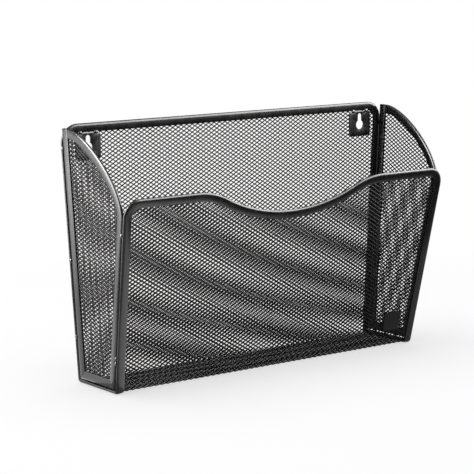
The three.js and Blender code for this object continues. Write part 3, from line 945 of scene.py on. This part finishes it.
class FILERACK_OT_stage(Operator):
    """Set the floor, the white surroundings, the lamp, the cards and the camera"""
    bl_idname = "filerack.stage"
    bl_label = "Set Stage"

    def execute(self, context):
        stage = context.scene.file_rack.stage
        context.scene.view_settings.view_transform = "Standard"
        set_world(stage.ambient)
        bm = bmesh.new()
        bmesh.ops.create_grid(bm, x_segments=1, y_segments=1, size=stage.floor_size / 2)
        bmesh.ops.translate(bm, vec=(0, 0, CAD_LOW.z - FLOOR_GAP), verts=bm.verts[:])
        floor = bpy.data.objects.new("studio_floor", finished_mesh("studio_floor", bm))
        floor.data.materials.append(floor_white())
        context.scene.collection.objects.link(floor)
        add_lamp(
            "key_lamp", place=(-0.2, 0.1, 1.3), aim=MIDDLE, width=1.6, height=1.6, radiance=2.2)
        for card in CARDS:
            add_card(card)
        add_camera(stage)
        return {"FINISHED"}


class FILERACK_OT_rims(Operator):
    """Form the channels that frame the front and the back"""
    bl_idname = "filerack.rims"
    bl_label = "Form Rims"

    def execute(self, context):
        settings = context.scene.file_rack
        layout = Layout(settings)
        coat = channel_coat(settings.finish)
        rims = (
            ("front_rim", layout.front_frame(), layout.front_route()),
            ("back_rim", layout.back_frame(), layout.back_route()),
        )
        for node, panel, route in rims:
            stations = [panel @ s for s in mitred_stations(route, level_ends=True)]
            add_channel(node, settings.channel, coat, stations)
        return {"FINISHED"}


class FILERACK_OT_side_channels(Operator):
    """Form the channels round both sides, mitred at the corners"""
    bl_idname = "filerack.side_channels"
    bl_label = "Form Side Channels"

    def execute(self, context):
        settings = context.scene.file_rack
        layout = Layout(settings)
        coat = channel_coat(settings.finish)
        seam = settings.channel.seam
        for name, side in SIDES.items():
            panel = layout.side_frame(side)
            stations = mitred_stations(layout.side_route(), closed=True)
            # The stile ends square at the top, and the arch butts against its front edge
            through = Vector((0, 0, 1))
            stations[-1] = station_at(stations[-1].translation, Vector((1, 0, 0)), through)
            stations[-2] = station_at(stations[-2].translation, Vector((0, -1, 0)), through)
            stations = [panel @ station for station in stations]
            lengths = (
                ("bottom_rail", stations[:2]),
                ("arch", stations[1:-1]),
                ("back_stile", [stations[-1], stations[0]]),
            )
            for node, run in lengths:
                add_channel(
                    f"{name}_{node}", settings.channel, coat, draw_back(run, seam / 2), seam / 2)
        return {"FINISHED"}


class FILERACK_OT_bottom_channels(Operator):
    """Form the channels along the two ends of the bottom, bent up at both ends"""
    bl_idname = "filerack.bottom_channels"
    bl_label = "Form Bottom Channels"

    def execute(self, context):
        settings = context.scene.file_rack
        layout = Layout(settings)
        coat = channel_coat(settings.finish)
        for name, side in SIDES.items():
            add_channel(
                f"{name}_bottom_channel", settings.channel, coat, layout.bottom_stations(side))
        return {"FINISHED"}


class FILERACK_OT_nets(Operator):
    """Stretch the expanded mesh of the front, bottom, back and sides"""
    bl_idname = "filerack.nets"
    bl_label = "Stretch Nets"

    def execute(self, context):
        settings = context.scene.file_rack
        layout = Layout(settings)
        net = settings.net
        coat = mesh_coat(settings.finish)
        length = layout.bottom_length()
        rows = round(length / (net.pitch_up / 2))

        front = flat_net(
            net, skirted_outline(layout.front_route(), net), layout.front_run(layout.front_foot))
        self.add(front, layout.front_frame(), "front", coat)

        back = flat_net(
            net, skirted_outline(layout.back_route(), net), layout.back_foot, odd=rows % 2 == 1,
            clear=self.keyhole_clearances(settings))
        self.add(back, layout.back_frame(), "back", coat)

        for name, side in SIDES.items():
            edge = inset_outline(
                mitred_stations(layout.side_route(), closed=True), net.hidden_edge)
            middle = (edge[0].x + edge[1].x) / 2
            sheet = flat_net(net, edge, edge[0].y - net.pitch_up, middle_x=middle)
            self.add(sheet, layout.side_frame(side), f"{name}_side", coat)

        reach = layout.half_width_at(layout.half) - net.hidden_edge
        margin = net.pitch_up / 2
        strip = [
            Vector((-reach, -length)), Vector((reach, -length)),
            Vector((reach, margin)), Vector((-reach, margin)),
        ]
        bottom = flat_net(net, strip, -length, odd=rows % 2 == 1, pitch_up=2 * length / rows)
        above = [f for f in bottom.faces if f.calc_center_median().y > 0]
        bmesh.ops.delete(bottom, geom=above, context="FACES")
        for vert in bottom.verts:
            place, outward = layout.bottom_point(-vert.co.y)
            place += outward * vert.co.z
            vert.co = Vector((vert.co.x, -place.x, place.y + CAD_LOW.z))
        self.add(bottom, Matrix.Identity(4), "bottom", coat)
        return {"FINISHED"}

    @staticmethod
    def keyhole_clearances(settings):
        plates = settings.plates
        radius = plates.head_radius + plates.screw_clearance
        for name in SIDES:
            low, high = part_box(f"{name}_hanger_plate")
            slot = high.z - CAD_LOW.z - plates.top_margin - plates.slot_radius
            middle = (low.x + high.x) / 2
            yield Vector((middle, slot - plates.drop)), Vector((middle, slot)), radius

    @staticmethod
    def add(sheet, panel, name, coat):
        bmesh.ops.transform(sheet, matrix=panel, verts=sheet.verts[:])
        bmesh.ops.recalc_face_normals(sheet, faces=sheet.faces[:])
        add_piece(finished_mesh(f"{name}_net_steel", sheet), coat, "mesh_coat", f"{name}_mesh")


class FILERACK_OT_hanger_plates(Operator):
    """Stamp the two plates with keyholes"""
    bl_idname = "filerack.hanger_plates"
    bl_label = "Stamp Hanger Plates"

    def execute(self, context):
        settings = context.scene.file_rack
        plates = settings.plates
        coat = channel_coat(settings.finish)
        for name in SIDES:
            node = f"{name}_hanger_plate"
            low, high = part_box(node)
            size = high - low
            slot = size.z / 2 - plates.top_margin - plates.slot_radius
            loops = (
                rounded_rectangle(size.x, size.z, plates.corner),
                keyhole_outline(plates, Vector((0, slot - plates.drop))),
            )
            mesh = plate_mesh(f"{name}_hanger_steel", loops, size.y, plates.edge_round)
            centre = (low + high) / 2
            mesh.transform(
                Matrix.Translation((centre.x, high.y, centre.z))
                @ Matrix.Rotation(math.pi / 2, 4, "X"))
            add_piece(mesh, coat, "hanger_coat", node)
        return {"FINISHED"}


class FILERACK_OT_badge(Operator):
    """Mould the plain badge and stamp the plate behind it"""
    bl_idname = "filerack.badge"
    bl_label = "Add Badge"

    def execute(self, context):
        settings = context.scene.file_rack
        layout = Layout(settings)
        plates = settings.plates
        panel = layout.front_frame()
        into_panel = panel.inverted()
        looks = (
            ("badge_plate", "badge_moulding", gloss_badge(settings.finish), "badge_gloss",
             plates.badge_round),
            ("badge_backing", "badge_backing_steel", channel_coat(settings.finish), "hanger_coat",
             plates.edge_round),
        )
        for node, name, material, slot, edge_round in looks:
            corners = [into_panel @ vert.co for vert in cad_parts[node].data.vertices]
            low = Vector([min(c[axis] for c in corners) for axis in range(3)])
            high = Vector([max(c[axis] for c in corners) for axis in range(3)])
            size = high - low
            outline = rounded_rectangle(size.x, size.y, plates.badge_corner)
            mesh = plate_mesh(name, (outline,), size.z, edge_round, edge_steps=3)
            centre = (low + high) / 2
            mesh.transform(panel @ Matrix.Translation((centre.x, centre.y, low.z)))
            add_piece(mesh, material, slot, node)
        return {"FINISHED"}


class FILERACK_OT_welds(Operator):
    """Run the tack welds that hold the sides and the hanger plates"""
    bl_idname = "filerack.welds"
    bl_label = "Run Tack Welds"

    def execute(self, context):
        settings = context.scene.file_rack
        layout = Layout(settings)
        coat = weld_coat(settings.finish)
        seed = 0
        for name, side in SIDES.items():
            side_turn = layout.side_frame(side).to_3x3()
            back_turn = layout.back_frame().to_3x3()
            outward = side_turn.col[2] * -side
            groups = (
                ("front_weld", 3, side_turn, outward),
                ("back_weld", 3, side_turn, outward),
                ("hanger_weld", 2, back_turn @ Matrix.Rotation(math.pi / 2, 3, "Z"),
                 back_turn.col[2]),
            )
            for group, count, turn, normal in groups:
                for i in range(count):
                    node = f"{name}_{group}_{i + 1}"
                    seed += 1
                    mesh = weld_mesh(
                        f"{name}_{group}_bead_{i + 1}", node, turn, normal, settings.welds, seed)
                    add_piece(mesh, coat, "weld_coat", node)
        return {"FINISHED"}


class FILERACK_PT_sidebar(Panel):
    """The rack's operators and sizes in the 3D view's sidebar"""
    bl_idname = "FILERACK_PT_sidebar"
    bl_label = "File Rack"
    bl_space_type = "VIEW_3D"
    bl_region_type = "UI"
    bl_category = "File Rack"

    def draw(self, context):
        column = self.layout.column(align=True)
        for operator in OPERATORS:
            column.operator(operator.bl_idname)
        settings = context.scene.file_rack
        for group in ("pocket", "channel", "net", "plates", "welds", "finish", "stage"):
            box = self.layout.box()
            box.label(text=group.capitalize())
            sizes = getattr(settings, group)
            for name in sizes.bl_rna.properties.keys():
                if name not in {"rna_type", "name"}:
                    box.prop(sizes, name)


SETTINGS = (
    PocketSizes, ChannelSizes, NetSizes, PlateSizes, WeldSizes, CoatFinish, StageSizes,
    RackSettings,
)
OPERATORS = (
    FILERACK_OT_stage,
    FILERACK_OT_rims,
    FILERACK_OT_side_channels,
    FILERACK_OT_bottom_channels,
    FILERACK_OT_nets,
    FILERACK_OT_hanger_plates,
    FILERACK_OT_badge,
    FILERACK_OT_welds,
)
CLASSES = (*SETTINGS, *OPERATORS, FILERACK_PT_sidebar)


def register():
    for cls in CLASSES:
        bpy.utils.register_class(cls)
    bpy.types.Scene.file_rack = PointerProperty(type=RackSettings)


def unregister():
    del bpy.types.Scene.file_rack
    for cls in reversed(CLASSES):
        bpy.utils.unregister_class(cls)


def main():
    register()
    bpy.ops.filerack.stage()
    bpy.ops.filerack.rims()
    bpy.ops.filerack.side_channels()
    bpy.ops.filerack.bottom_channels()
    bpy.ops.filerack.nets()
    bpy.ops.filerack.hanger_plates()
    bpy.ops.filerack.badge()
    bpy.ops.filerack.welds()


if __name__ == "__main__":
    main()
